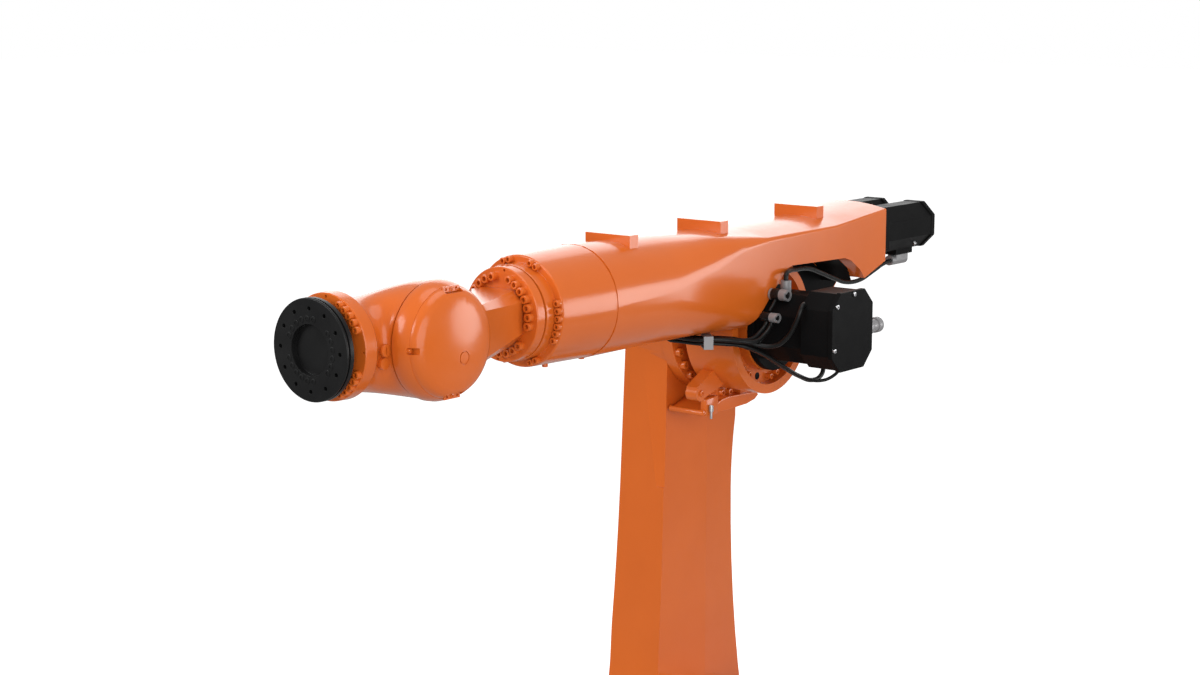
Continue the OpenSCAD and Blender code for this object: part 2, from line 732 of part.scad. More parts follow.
module hand_ring() {
  color([0.82, 0.29, 0.09])
  translate([0, 0, roll_z]) difference() {
    x_spin([
      [hand_front - 33, 0], [hand_front - 33, hand_ring_r + 1], [hand_front - 2, hand_ring_r],
      [hand_front, hand_ring_r - 2], [hand_front, 0]
    ]);
    for (a = [0:90:270])
      rotate([a, 0, 0]) translate([0, 0, hand_ring_r - 9]) x_rod(hand_front - 14, hand_front + 1, jack_r);
  }
}

module hand_plugs() {
  color([0.82, 0.29, 0.09]) plug_seats();
}

module tool_flange() {
  color([0.05, 0.05, 0.05])
  difference() {
    translate([0, 0, roll_z]) x_spin([
      [hand_front + bearing_gap, 0], [hand_front + bearing_gap, 84], [flange_x - flange_t, 84],
      [flange_x - flange_t, flange_r - 1], [flange_x - flange_t + 2, flange_r], [flange_x - 11, flange_r],
      [flange_x - 11, flange_r - 4], [flange_x - 6, flange_r - 4], [flange_x - 6, flange_r],
      [flange_x - 2, flange_r], [flange_x, flange_r - 2], [flange_x, 0]
    ]);
    translate([0, 0, roll_z]) x_rod(flange_x - pilot_depth, flange_x + 1, pilot_r);
    for (i = [0:tool_bolts - 1])
      translate([0, 0, roll_z]) rotate([i * 360 / tool_bolts, 0, 0]) translate([0, 0, tool_pcd / 2])
        x_rod(flange_x - 20, flange_x + 1, tool_bolt_r);
  }
}

base_frame();
slewing_ring();
swivel_column();
swivel_motor();
shoulder_motor();
shoulder_motor_cap();
link_arm();
shoulder_cover();
elbow_cover();
elbow_ring();
stop_block();
grease_fitting();
arm_casting();
elbow_motor_flange();
elbow_motor();
elbow_motor_cap();
elbow_connector();
rear_motor_left();
rear_motor_right();
rear_motor_cap_left();
rear_motor_cap_right();
rear_connector();
cable_sleeves();
cable_clamp();
cable_harness();
upper_cable();
arm_sleeve();
roll_ring();
wrist_housing();
bend_cover();
bend_clips();
hand_housing();
hand_ring();
hand_plugs();
tool_flange();
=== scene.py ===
# %% [markdown]
# An industrial robot arm: orange castings, black motors and tool flange, grey connectors and black
# cables. The solids come from the CAD frame. This lesson lays the cables, softens the edges of the
# castings, sets the screws and small fittings, and gives every surface its finish.

# %% Load the CAD frame
import json
import math

import bmesh
import bpy
from mathutils import Matrix, Vector


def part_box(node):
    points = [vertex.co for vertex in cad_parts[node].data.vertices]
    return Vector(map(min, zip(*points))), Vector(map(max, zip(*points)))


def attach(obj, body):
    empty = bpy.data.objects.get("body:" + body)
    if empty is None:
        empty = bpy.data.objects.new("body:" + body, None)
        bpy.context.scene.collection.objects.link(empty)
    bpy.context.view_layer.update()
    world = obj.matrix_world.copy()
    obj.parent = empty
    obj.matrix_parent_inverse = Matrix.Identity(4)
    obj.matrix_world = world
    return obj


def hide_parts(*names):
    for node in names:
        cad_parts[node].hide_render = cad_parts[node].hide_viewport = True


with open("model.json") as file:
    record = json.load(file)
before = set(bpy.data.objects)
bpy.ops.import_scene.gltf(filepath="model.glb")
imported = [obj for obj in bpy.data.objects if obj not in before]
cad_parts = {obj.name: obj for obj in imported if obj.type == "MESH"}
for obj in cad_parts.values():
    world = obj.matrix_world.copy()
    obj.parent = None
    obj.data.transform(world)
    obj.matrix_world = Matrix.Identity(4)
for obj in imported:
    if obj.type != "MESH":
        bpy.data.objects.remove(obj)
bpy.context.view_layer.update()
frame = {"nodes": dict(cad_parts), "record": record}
record = frame["record"]
scene = bpy.context.scene

# %% [markdown]
# The camera stands where the photograph was taken: to the front left of the arm and a little above it. It
# could be set by eye. Here lens and place come from the round flange, whose true size is known, so the
# perspective is the photograph's.

# %% Camera
AZIMUTH = math.radians(128.7)
ELEVATION = math.radians(9.7)
CAMERA_PLACE = (5.876, 3.750, 3.420)
FOCAL_PIXELS = 2215
PHOTO_PIXELS = 1200
SENSOR_MM = 36
FAR_LIMIT = 200

level = math.cos(ELEVATION)
back = Vector((math.sin(AZIMUTH) * level, -math.cos(AZIMUTH) * level, math.sin(ELEVATION)))
lens = bpy.data.cameras.new("photo_lens")
lens.sensor_width = SENSOR_MM
lens.lens = SENSOR_MM * FOCAL_PIXELS / PHOTO_PIXELS
lens.clip_end = FAR_LIMIT
camera = bpy.data.objects.new("photo_camera", lens)
camera.location = CAMERA_PLACE
camera.rotation_mode = "QUATERNION"
camera.rotation_quaternion = (-back).to_track_quat("-Z", "Y")
scene.collection.objects.link(camera)
scene.camera = camera
print("camera", tuple(round(v, 3) for v in camera.location), "lens", round(lens.lens, 2), "mm")

# %% [markdown]
# Sprayed paint is never one flat colour: it clouds a little, its gloss wanders, and its skin has a fine
# orange peel. Image textures could show this, but every piece would need its own layout. Noise needs none
# and fits any shape, so two helpers add a noise texture and stretch the range of a value.

# %% Shader helpers
def noise(tree, coords, scale, detail):
    texture = tree.nodes.new("ShaderNodeTexNoise")
    texture.inputs["Scale"].default_value = scale
    texture.inputs["Detail"].default_value = detail
    tree.links.new(coords, texture.inputs["Vector"])
    return texture.outputs["Fac"]


def spread(tree, value, low, high, to_low, to_high):
    node = tree.nodes.new("ShaderNodeMapRange")
    node.inputs["From Min"].default_value = low
    node.inputs["From Max"].default_value = high
    node.inputs["To Min"].default_value = to_low
    node.inputs["To Max"].default_value = to_high
    tree.links.new(value, node.inputs["Value"])
    return node.outputs["Result"]


print("noise and range helpers ready")

# %% [markdown]
# The three effects could be built again in every material. One node group makes them once, and each
# finish sets its own strengths. The group only puts out a colour, a roughness and a height, so the shader
# itself stays in each material. It uses Object coordinates, so the paint stays on a piece that moves.

# %% Shared effect: paint skin
SKIN_INPUTS = {
    "Colour": "NodeSocketColor",
    "Shade Colour": "NodeSocketColor",
    "Gloss": "NodeSocketFloat",
    "Cloud": "NodeSocketFloat",
}
SKIN_OUTPUTS = {
    "Colour": "NodeSocketColor",
    "Roughness": "NodeSocketFloat",
    "Peel": "NodeSocketFloat",
}
CLOUD_NOISE = {"scale": 5, "detail": 4}
CLOUD_RANGE = {"low": 0.35, "high": 0.7, "to_low": 0, "to_high": 1}
GLOSS_NOISE = {"scale": 22, "detail": 5}
GLOSS_RANGE = {"low": 0.3, "high": 0.7, "to_low": -0.5, "to_high": 0.5}
GLOSS_WANDER = 0.1
PEEL_NOISE = {"scale": 420, "detail": 2}
MIX_FIRST_COLOUR = 6
MIX_SECOND_COLOUR = 7
MIX_RESULT_COLOUR = 2

skin = bpy.data.node_groups.new("paint_skin", "ShaderNodeTree")
for label, kind in SKIN_INPUTS.items():
    skin.interface.new_socket(label, in_out="INPUT", socket_type=kind)
for label, kind in SKIN_OUTPUTS.items():
    skin.interface.new_socket(label, in_out="OUTPUT", socket_type=kind)
skin_in = skin.nodes.new("NodeGroupInput")
skin_out = skin.nodes.new("NodeGroupOutput")
spot = skin.nodes.new("ShaderNodeTexCoord").outputs["Object"]

amount = skin.nodes.new("ShaderNodeMath")
amount.operation = "MULTIPLY"
clouds = spread(skin, noise(skin, spot, **CLOUD_NOISE), **CLOUD_RANGE)
skin.links.new(clouds, amount.inputs[0])
skin.links.new(skin_in.outputs["Cloud"], amount.inputs[1])
mix = skin.nodes.new("ShaderNodeMix")
mix.data_type = "RGBA"
skin.links.new(amount.outputs[0], mix.inputs["Factor"])
skin.links.new(skin_in.outputs["Colour"], mix.inputs[MIX_FIRST_COLOUR])
skin.links.new(skin_in.outputs["Shade Colour"], mix.inputs[MIX_SECOND_COLOUR])
skin.links.new(mix.outputs[MIX_RESULT_COLOUR], skin_out.inputs["Colour"])

wander = skin.nodes.new("ShaderNodeMath")
wander.operation = "MULTIPLY_ADD"
wander.inputs[1].default_value = GLOSS_WANDER
patches = spread(skin, noise(skin, spot, **GLOSS_NOISE), **GLOSS_RANGE)
skin.links.new(patches, wander.inputs[0])
skin.links.new(skin_in.outputs["Gloss"], wander.inputs[2])
skin.links.new(wander.outputs[0], skin_out.inputs["Roughness"])
skin.links.new(noise(skin, spot, **PEEL_NOISE), skin_out.inputs["Peel"])
print("group", skin.name, "sockets", len(skin.interface.items_tree))

# %% [markdown]
# Each finish is a Principled shader fed by the paint skin. The peel is far too fine to be modelled, so it
# goes through a Bump node at a tiny strength. The orange castings carry a full clear coat: seen at a low
# angle it mirrors the pale room, so their tops turn almost white while the sides keep their colour. A
# brighter orange would lighten the sides too. The black paints reflect little, so they stay deep.

# %% Finishes
PEEL_STRENGTH = 0.03
PEEL_DEPTH = 0.002
COAT_ROUGHNESS = 0.18
COAT_IOR = 1.4


def finish(name, colour, shade_colour, gloss, cloud, coat=0.0, metallic=0.0, specular=0.5):
    material = bpy.data.materials.new(name)
    material.use_nodes = True
    tree = material.node_tree
    shader = tree.nodes["Principled BSDF"]
    group = tree.nodes.new("ShaderNodeGroup")
    group.node_tree = skin
    group.inputs["Colour"].default_value = (*colour, 1)
    group.inputs["Shade Colour"].default_value = (*shade_colour, 1)
    group.inputs["Gloss"].default_value = gloss
    group.inputs["Cloud"].default_value = cloud
    bump = tree.nodes.new("ShaderNodeBump")
    bump.inputs["Strength"].default_value = PEEL_STRENGTH
    bump.inputs["Distance"].default_value = PEEL_DEPTH
    tree.links.new(group.outputs["Colour"], shader.inputs["Base Color"])
    tree.links.new(group.outputs["Roughness"], shader.inputs["Roughness"])
    tree.links.new(group.outputs["Peel"], bump.inputs["Height"])
    tree.links.new(bump.outputs["Normal"], shader.inputs["Normal"])
    shader.inputs["Metallic"].default_value = metallic
    shader.inputs["Specular IOR Level"].default_value = specular
    shader.inputs["Coat Weight"].default_value = coat
    shader.inputs["Coat Roughness"].default_value = COAT_ROUGHNESS
    shader.inputs["Coat IOR"].default_value = COAT_IOR
    return material


FINISH = {
    "orange_paint": finish(
        "orange_casting_paint", (0.62, 0.124, 0.014), (0.56, 0.106, 0.011),
        gloss=0.45, cloud=0.5, coat=1.0, specular=0.05),
    "black_paint": finish(
        "black_motor_paint", (0.0045, 0.0045, 0.0047), (0.008, 0.008, 0.008),
        gloss=0.4, cloud=0.6, specular=0.03),
    "bare_steel": finish(
        "turned_steel", (0.52, 0.52, 0.53), (0.42, 0.42, 0.43),
        gloss=0.3, cloud=0.6, metallic=1.0),
    "connector_metal": finish(
        "grey_connector_metal", (0.27, 0.265, 0.27), (0.19, 0.185, 0.19),
        gloss=0.4, cloud=0.8, metallic=0.25),
    "cable_rubber": finish(
        "cable_jacket", (0.006, 0.006, 0.006), (0.010, 0.010, 0.010),
        gloss=0.28, cloud=0.8, specular=0.2),
    "flange_steel": finish(
        "blackened_flange", (0.005, 0.005, 0.0052), (0.009, 0.009, 0.009),
        gloss=0.36, cloud=0.7, specular=0.2),
}
print("finishes", list(FINISH))

# %% [markdown]
# Every new piece is put away the same way: it gets the finish of a slot in the record, joins the scene at
# the origin, and rides on the body that carries it, so it moves with the joints. One helper does it for
# meshes and curves, so no piece can be forgotten.

# %% Putting a piece away
def put_away(piece, body, slot):
    piece.data.materials.append(FINISH[slot])
    scene.collection.objects.link(piece)
    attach(piece, body)
    return piece


print("slots", list(FINISH))

# %% [markdown]
# Most places on the arm are easiest to read from three points: the elbow axis, the bend axis, and the
# point of the roll axis that lies straight above the elbow. Typed places in the room would hide this, so
# a helper counts from a point instead: X runs ahead along the arm, Y to its left and Z up.

# %% Reference points
AXES = {joint["name"]: Vector(joint["pos_m"]) for joint in record["behaviour"]["joints"]}
ELBOW = AXES["elbow"]
BEND = AXES["wrist_bend"]
OVER_ELBOW = Vector((ELBOW.x, 0, BEND.z))


def off(origin, x, y, z):
    """A point given from an origin in the middle plane: ahead, across and up."""
    return Vector((origin.x + x, y, origin.z + z))


print("elbow axis", tuple(ELBOW), "bend axis", tuple(BEND))

# %% [markdown]
# A bundle of cables leaves the underside of the arm, runs through a clamp and fans out to the elbow
# motor. Every cable could have its whole route typed. Here the bundle has one middle line, and `side`
# shifts a cable across it and `layer` shifts it down, so the cables lie side by side and never cross.
# Each row is a place, counted from over the elbow, and the directions in degrees of these two shifts.

# %% Cable bundle
CABLE_R = 0.007
THIN_R = 0.005
PITCH = 0.015
LAYER = 0.0135
BUNDLE = [
    (0.335, -0.055, -0.1124, 0, 90), (0.335, -0.055, -0.120, 0, 90), (0.335, -0.055, -0.128, 0, 90),
    (0.335, -0.049, -0.146, 0, 60), (0.335, -0.028, -0.158, 0, 15), (0.334, 0.010, -0.1595, 4, 0),
    (0.334, 0.050, -0.160, 14, 0), (0.329, 0.079, -0.160, 40, 0), (0.318, 0.090, -0.160, 45, 0),
    (0.307, 0.101, -0.160, 45, 0), (0.277, 0.126, -0.163, 48, 0), (0.246, 0.146, -0.168, 50, 0),
]


def strand(side, layer):
    points = []
    for x, y, z, turn, tip in BUNDLE:
        across = math.radians(turn)
        down = math.radians(tip)
        points.append((
            x + side * math.cos(across),
            y + side * math.sin(across) - layer * math.sin(down),
            z - layer * math.cos(down),
        ))
    return points


print("bundle", len(BUNDLE), "places")

# %% [markdown]
# A cable is a round, bendy cord with a smooth run. It could be a mesh tube, but a curve with a round
# section stays smooth and can be laid anew, so each cable is one curve along the same points as its CAD
# solid. Its row holds the route, the radius and the stated length.

# %% Cables
SECTION_STEPS = 4
KNOT_STEPS = 6
CABLES = {
    "front_cable": (strand(-PITCH, 0) + [
        (0.206, 0.178, -0.182), (0.178, 0.228, -0.184), (0.166, 0.262, -0.158), (0.163, 0.285, -0.122),
        (0.160, 0.300, -0.084), (0.148, 0.300, -0.066), (0.134, 0.297, -0.062)], CABLE_R, 0.54),
    "loop_cable": (strand(-PITCH / 2, LAYER) + [
        (0.214, 0.160, -0.192), (0.167, 0.178, -0.214), (0.093, 0.195, -0.258), (0.020, 0.210, -0.298),
        (-0.032, 0.220, -0.316), (-0.072, 0.224, -0.308), (-0.092, 0.220, -0.285), (-0.090, 0.216, -0.262),
        (-0.088, 0.214, -0.252)], CABLE_R, 0.72),
    "thin_cable": (strand(PITCH / 2, LAYER) + [
        (0.216, 0.176, -0.194), (0.160, 0.192, -0.222), (0.088, 0.212, -0.266), (0.020, 0.232, -0.302),
        (-0.020, 0.256, -0.312), (-0.046, 0.280, -0.301), (-0.056, 0.300, -0.276), (-0.053, 0.308, -0.248),
        (-0.0485, 0.309, -0.2297)], THIN_R, 0.74),
    "inner_cable": (strand(0, 0) + [
        (0.205, 0.166, -0.168), (0.165, 0.168, -0.152), (0.142, 0.169, -0.136), (0.137, 0.170, -0.1263)],
        CABLE_R, 0.40),
    "outer_cable": (strand(PITCH, 0) + [
        (0.214, 0.184, -0.172), (0.170, 0.188, -0.156), (0.145, 0.188, -0.138), (0.138, 0.188, -0.1263)],
        CABLE_R, 0.43),
    "rear_cable": ([
        (0.048, 0.176, -0.0133), (0.048, 0.176, -0.009), (0.047, 0.1755, -0.002), (0.038, 0.171, 0.005),
        (0.022, 0.165, 0.008), (0.0, 0.157, 0.008), (-0.057, 0.138, 0.003), (-0.159, 0.122, -0.006),
        (-0.225, 0.120, -0.026), (-0.308, 0.118, -0.054), (-0.361, 0.116, -0.070), (-0.445, 0.112, -0.076),
        (-0.567, 0.096, -0.058), (-0.640, 0.084, -0.046), (-0.689, 0.080, -0.042)], CABLE_R, 0.77),
}
JUMPER = [(0.1307, 0.176, -0.095), (0.122, 0.176, -0.087), (0.112, 0.176, -0.078), (0.102, 0.176, -0.066)]


def lay_cable(name, route, radius):
    curve = bpy.data.curves.new(name, "CURVE")
    curve.dimensions = "3D"
    curve.bevel_depth = radius
    curve.bevel_resolution = SECTION_STEPS
    curve.resolution_u = KNOT_STEPS
    curve.use_fill_caps = True
    spline = curve.splines.new("BEZIER")
    spline.bezier_points.add(len(route) - 1)
    for knot, place in zip(spline.bezier_points, route):
        knot.co = off(OVER_ELBOW, *place)
        knot.handle_left_type = knot.handle_right_type = "AUTO"
    return put_away(bpy.data.objects.new(name, curve), "arm", "cable_rubber")


for name, (route, radius, length) in CABLES.items():
    piece = lay_cable(name, route, radius)
    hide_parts("upper_cable" if name == "rear_cable" else "cable_harness")
jumper = lay_cable("jumper_cable", JUMPER, THIN_R)
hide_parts("cable_harness")
print("jumper length", round(jumper.data.splines[0].calc_length(), 3))

# %% [markdown]
# Castings and housings have rounded edges everywhere, which catch the light as thin bright lines. A Bevel
# modifier could make them, but the bmesh bevel takes exactly the edges it is given. Faces are then shaded
# smooth wherever they meet more gently than a crease.

# %% Edges and shading
BEVEL_SEGMENTS = 2


def sharp_edges(bm, degrees):
    sharp = math.radians(degrees)
    return [e for e in bm.edges if len(e.link_faces) == 2 and e.calc_face_angle() > sharp]


def round_edges(bm, edges, width, clamp=False):
    bmesh.ops.bevel(bm, geom=edges, offset=width, offset_type="OFFSET", affect="EDGES",
                    segments=BEVEL_SEGMENTS, profile=0.5, material=-1, clamp_overlap=clamp)


def shade_smooth(bm, crease):
    for face in bm.faces:
        face.smooth = True
    for edge in bm.edges:
        edge.smooth = len(edge.link_faces) == 2 and edge.calc_face_angle() < math.radians(crease)


print("edge helpers ready")

# %% [markdown]
# The CAD solids come as triangles with flat edges between them, which a bevel would stumble over. So a
# copy of each node is merged into one skin and its flat edges are dissolved before the sharp ones are
# bevelled. The copy then stands for the node. The upright link has long, gentle folds down its faces.
# They are too flat to bevel, so they are only kept crisp.

# %% Softening a CAD node
NODES = frame["nodes"]
SLOTS = {part["node"]: part["material_slot"] for part in record["subparts"]}
BODY = {node: body for body, nodes in record["behaviour"]["bodies"].items() for node in nodes}
MERGE_DISTANCE = 1e-5
FLAT_ANGLE = math.radians(0.5)
CASTING_EDGE = 28
CASTING_CREASE = 30
FLATTEST_FOLD = math.radians(3)
STEEPEST_FOLD = math.radians(14)
LONG_FOLD = {"link_arm": 0.4}


def add_piece(bm, name, body, slot):
    mesh = bpy.data.meshes.new(name)
    bm.to_mesh(mesh)
    bm.free()
    return put_away(bpy.data.objects.new(name, mesh), body, slot)


def keep_folds(bm, shortest):
    for edge in bm.edges:
        if edge.calc_length() > shortest and FLATTEST_FOLD < edge.calc_face_angle(0) < STEEPEST_FOLD:
            edge.smooth = False


def soften(node, width):
    bm = bmesh.new()
    bm.from_mesh(NODES[node].data)
    bmesh.ops.remove_doubles(bm, verts=bm.verts, dist=MERGE_DISTANCE)
    bmesh.ops.dissolve_limit(bm, angle_limit=FLAT_ANGLE, verts=bm.verts, edges=bm.edges)
    round_edges(bm, sharp_edges(bm, CASTING_EDGE), width, clamp=True)
    shade_smooth(bm, CASTING_CREASE)
    if node in LONG_FOLD:
        keep_folds(bm, LONG_FOLD[node])
    piece = add_piece(bm, node + "_finished", BODY[node], SLOTS[node])
    even = piece.modifiers.new("even_shading", "WEIGHTED_NORMAL")
    even.keep_sharp = True
    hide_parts(node)


print("softening ready")

# %% [markdown]
# The wide roundings belong to the big castings, the narrow ones to machined rings, motors and small
# pieces. One width for all would leave the castings hard or swallow the small pieces, so each node has
# its own. The CAD nodes behind the copies get the same finishes.

# %% Softened copies of the CAD nodes
WIDTHS = {
    "base_frame": 0.012, "swivel_column": 0.014, "link_arm": 0.012, "arm_casting": 0.004,
    "wrist_housing": 0.006, "hand_housing": 0.003, "arm_sleeve": 0.002, "roll_ring": 0.0015,
    "hand_ring": 0.001, "elbow_ring": 0.003, "stop_block": 0.004, "shoulder_cover": 0.004,
    "elbow_cover": 0.004, "bend_cover": 0.001, "bend_clips": 0.001, "swivel_motor": 0.004,
    "shoulder_motor": 0.004, "shoulder_motor_cap": 0.004, "elbow_motor_flange": 0.003, "elbow_motor": 0.004,
    "elbow_motor_cap": 0.003, "rear_motor_left": 0.003, "rear_motor_right": 0.003,
    "rear_motor_cap_left": 0.003, "rear_motor_cap_right": 0.003, "rear_connector": 0.002,
    "cable_sleeves": 0.002, "cable_clamp": 0.001, "tool_flange": 0.001, "slewing_ring": 0.002,
    "hand_plugs": 0.001, "grease_fitting": 0.0007,
}
for node_name, width in WIDTHS.items():
    soften(node_name, width)
for node_name, node in NODES.items():
    node.data.materials.clear()
    node.data.materials.append(FINISH[SLOTS[node_name]])
print("softened", len(WIDTHS))

# %% [markdown]
# The gear heads are held by rings of socket head cap screws, painted over with the castings. A plain
# cylinder could do, but the photograph shows the socket in each head. So one screw is modelled: a rim and
# a hexagon are bridged into the top face, the rim is drawn down to make the head, the hexagon to make the
# socket. A slotted screw has a flattened hexagon. Sizes are shares of the head's width or height, apart
# from the one in metres.

# %% One cap screw
HEAD_SIDES = 20
SOCKET_SIDES = 6
SOCKET_RADIUS = 0.29
SLOT_SHAPE = Matrix.Diagonal((1.3, 0.22, 1, 1))
SOCKET_DEPTH = 0.9
DEEPEST_SOCKET = 0.5
SHALLOWEST_SOCKET_M = 0.004
RIM_BEVEL = 0.07
WIDEST_RIM_BEVEL = 0.6


def only(kind, geometry):
    return [element for element in geometry if isinstance(element, kind)]


def draw_down(bm, loop, depth):
    drawn = bmesh.ops.extrude_edge_only(bm, edges=loop)["geom"]
    bmesh.ops.translate(bm, vec=(0, 0, -depth), verts=only(bmesh.types.BMVert, drawn))
    return only(bmesh.types.BMEdge, drawn)


def cap_screw(head, height, slotted):
    bm = bmesh.new()
    top = Matrix.Translation((0, 0, height))
    opening = SLOT_SHAPE if slotted else Matrix.Identity(4)
    bmesh.ops.create_circle(bm, segments=HEAD_SIDES, radius=head / 2, matrix=top)
    rim = list(bm.edges)
    bmesh.ops.create_circle(bm, segments=SOCKET_SIDES, radius=SOCKET_RADIUS * head, matrix=top @ opening)
    socket = [e for e in bm.edges if e not in rim]
    bmesh.ops.bridge_loops(bm, edges=rim + socket)
    draw_down(bm, rim, height)
    depth = max(SOCKET_DEPTH * min(height, DEEPEST_SOCKET * head), SHALLOWEST_SOCKET_M)
    bmesh.ops.contextual_create(bm, geom=draw_down(bm, socket, depth))
    round_edges(bm, rim, min(RIM_BEVEL * head, WIDEST_RIM_BEVEL * height))
    bmesh.ops.recalc_face_normals(bm, faces=bm.faces)
    mesh = bpy.data.meshes.new("cap_screw_pattern")
    bm.to_mesh(mesh)
    bm.free()
    return mesh


print("screw pattern ready")

# %% [markdown]
# There are over a hundred screws, and each could be an object of its own. Copies in one mesh for each
# ring keep the list of pieces short. A seat is a point and the direction that the screw looks in, and
# each screw of a set is turned a little further, as a fitter leaves them.

# %% Sets of screws
AHEAD = Vector((1, 0, 0))
LEFT = Vector((0, 1, 0))
UP = Vector((0, 0, 1))
FITTING_CREASE = 40
SCREW_TURN = 0.7


def aim_along(point, direction):
    """A matrix that sets a piece on a point, with its Z axis along a direction."""
    return Matrix.Translation(point) @ direction.to_track_quat("Z", "X").to_matrix().to_4x4()


def set_screws(name, body, slot, seats, head, height, slotted=False):
    pattern = cap_screw(head, height, slotted)
    bm = bmesh.new()
    for number, (point, axis) in enumerate(seats):
        known = len(bm.verts)
        bm.from_mesh(pattern)
        bm.verts.ensure_lookup_table()
        place = aim_along(point, axis) @ Matrix.Rotation(SCREW_TURN * number, 4, "Z")
        bmesh.ops.transform(bm, matrix=place, verts=bm.verts[known:])
    shade_smooth(bm, FITTING_CREASE)
    add_piece(bm, name, body, slot)
    bpy.data.meshes.remove(pattern)
    print(name, len(seats), "screws")


def row(middle, pitch, count):
    """Angles in degrees of a group of screws, spaced evenly about its middle."""
    return [middle + pitch * (i - (count - 1) / 2) for i in range(count)]


def clock_seats(face, radius, clocks):
    """Seats on a face across the roll axis; a clock angle runs from the top towards the arm's left."""
    seats = []
    for clock in clocks:
        angle = math.radians(clock)
        point = Vector((face, radius * math.sin(angle), BEND.z + radius * math.cos(angle)))
        seats.append((point, AHEAD))
    return seats


def elbow_seats(face, radius, angles):
    """Seats on a face across the elbow axis; an angle runs up from straight ahead."""
    seats = []
    for degrees in angles:
        angle = math.radians(degrees)
        point = off(ELBOW, radius * math.cos(angle), face, radius * math.sin(angle))
        seats.append((point, LEFT))
    return seats


print("screw setting ready")

# %% [markdown]
# Most rings are not even: the screws stand in groups, with free places where castings and covers come
# close. An even ring would be shorter to write, but the groups are part of the look. They follow the
# photograph, and the hidden halves repeat them. Only the ring round the elbow is even.

# %% Screw rings
SLEEVE_STEP = 0.467
POCKET_DEPTH = 0.032
ELBOW_RING_COUNT = 25
ELBOW_RING_START = -23

sleeve_clocks = row(23, 8.3, 2) + row(97, 8.4, 6) + row(157.5, 8.3, 2)
sleeve_clocks += row(-157.5, 8.3, 2) + row(-90, 8.4, 6) + row(-16, 8.3, 2)
sleeve_seats = clock_seats(BEND.x - SLEEVE_STEP, radius=0.1385, clocks=sleeve_clocks)
set_screws("sleeve_screws", "arm", "orange_paint", sleeve_seats, head=0.0185, height=0.014)

roll_clocks = row(61.3, 13.5, 7) + row(178, 13.5, 7) + row(-53, 13.5, 7)
roll_seats = clock_seats(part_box("roll_ring")[1].x, radius=0.1015, clocks=roll_clocks)
set_screws("roll_ring_screws", "wrist", "orange_paint", roll_seats, head=0.0225, height=0.016)

hand_clocks = row(45, 9.4, 5) + row(136, 9.4, 5) + row(225, 9.4, 5) + row(315, 9.4, 5)
hand_seats = clock_seats(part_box("hand_ring")[1].x, radius=0.1195, clocks=hand_clocks)
set_screws("hand_ring_screws", "hand", "orange_paint", hand_seats, head=0.019, height=0.014)

flange_clocks = row(91.5, 15.5, 6) + row(211.5, 15.5, 6) + row(331.5, 15.5, 6)
flange_seats = clock_seats(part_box("tool_flange")[1].x, radius=0.0755, clocks=flange_clocks)
set_screws("flange_screws", "flange", "flange_steel", flange_seats, head=0.0165, height=0.001)

ring_angles = [ELBOW_RING_START + 360 / ELBOW_RING_COUNT * i for i in range(ELBOW_RING_COUNT)]
ring_seats = elbow_seats(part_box("elbow_ring")[1].y, radius=0.193, angles=ring_angles)
set_screws("elbow_ring_screws", "link", "orange_paint", ring_seats, head=0.026, height=0.016)

pocket_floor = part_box("elbow_motor_flange")[0].y - POCKET_DEPTH
pocket_angles = row(-46, 12, 3) + row(-118, 12, 4)
pocket_seats = elbow_seats(pocket_floor, radius=0.158, angles=pocket_angles)
set_screws("drum_screws", "arm", "orange_paint", pocket_seats, head=0.018, height=0.017)

# %% [markdown]
# The small fittings are turned parts: rods, pins, sockets and rings. A rod could be lathed from a
# profile, but a cylinder between two points with bevelled rims looks the same and is easier to place. A
# split ring has a gap, so it is a short profile spun round part of a circle.

# %% Turned fittings
ROD_SIDES = 24
ROD_RIM = 60
SPLIT_RING_ARC = math.radians(300)
SPLIT_RING_STEPS = 24
SPLIT_RING_TURN = 0.6


def set_rods(name, body, slot, rods, bevel=0.001):
    bm = bmesh.new()
    for start, end, radius in rods:
        along = end - start
        bmesh.ops.create_cone(bm, cap_ends=True, segments=ROD_SIDES, radius1=radius, radius2=radius,
                              depth=along.length, matrix=aim_along((start + end) / 2, along))
    round_edges(bm, sharp_edges(bm, ROD_RIM), bevel)
    shade_smooth(bm, FITTING_CREASE)
    print(name, len(rods), "rods")
    return add_piece(bm, name, body, slot)


def split_ring(bm, centre, inner, outer, depth):
    known = len(bm.verts)
    corners = ((inner, 0, 0), (outer, 0, 0), (outer, 0, depth), (inner, 0, depth))
    section = [bm.verts.new(corner) for corner in corners]
    face = bm.faces.new(section)
    bmesh.ops.spin(bm, geom=section + list(face.edges) + [face], cent=(0, 0, 0), axis=(0, 0, 1),
                   angle=SPLIT_RING_ARC, steps=SPLIT_RING_STEPS)
    bm.verts.ensure_lookup_table()
    face_left = Matrix.Rotation(math.radians(-90), 4, "X") @ Matrix.Rotation(SPLIT_RING_TURN, 4, "Z")
    bmesh.ops.transform(bm, matrix=Matrix.Translation(centre) @ face_left, verts=bm.verts[known:])


print("turned fittings ready")

# %% [markdown]
# Bright screws sit on the end and the sides of the elbow motor and below a rear motor. They are the cap
# screw again, in bare steel. The plug socket is turned in steps. Three rods in a row make it: each
# reaches from a near to a far distance behind the motor's side and has its own radius.

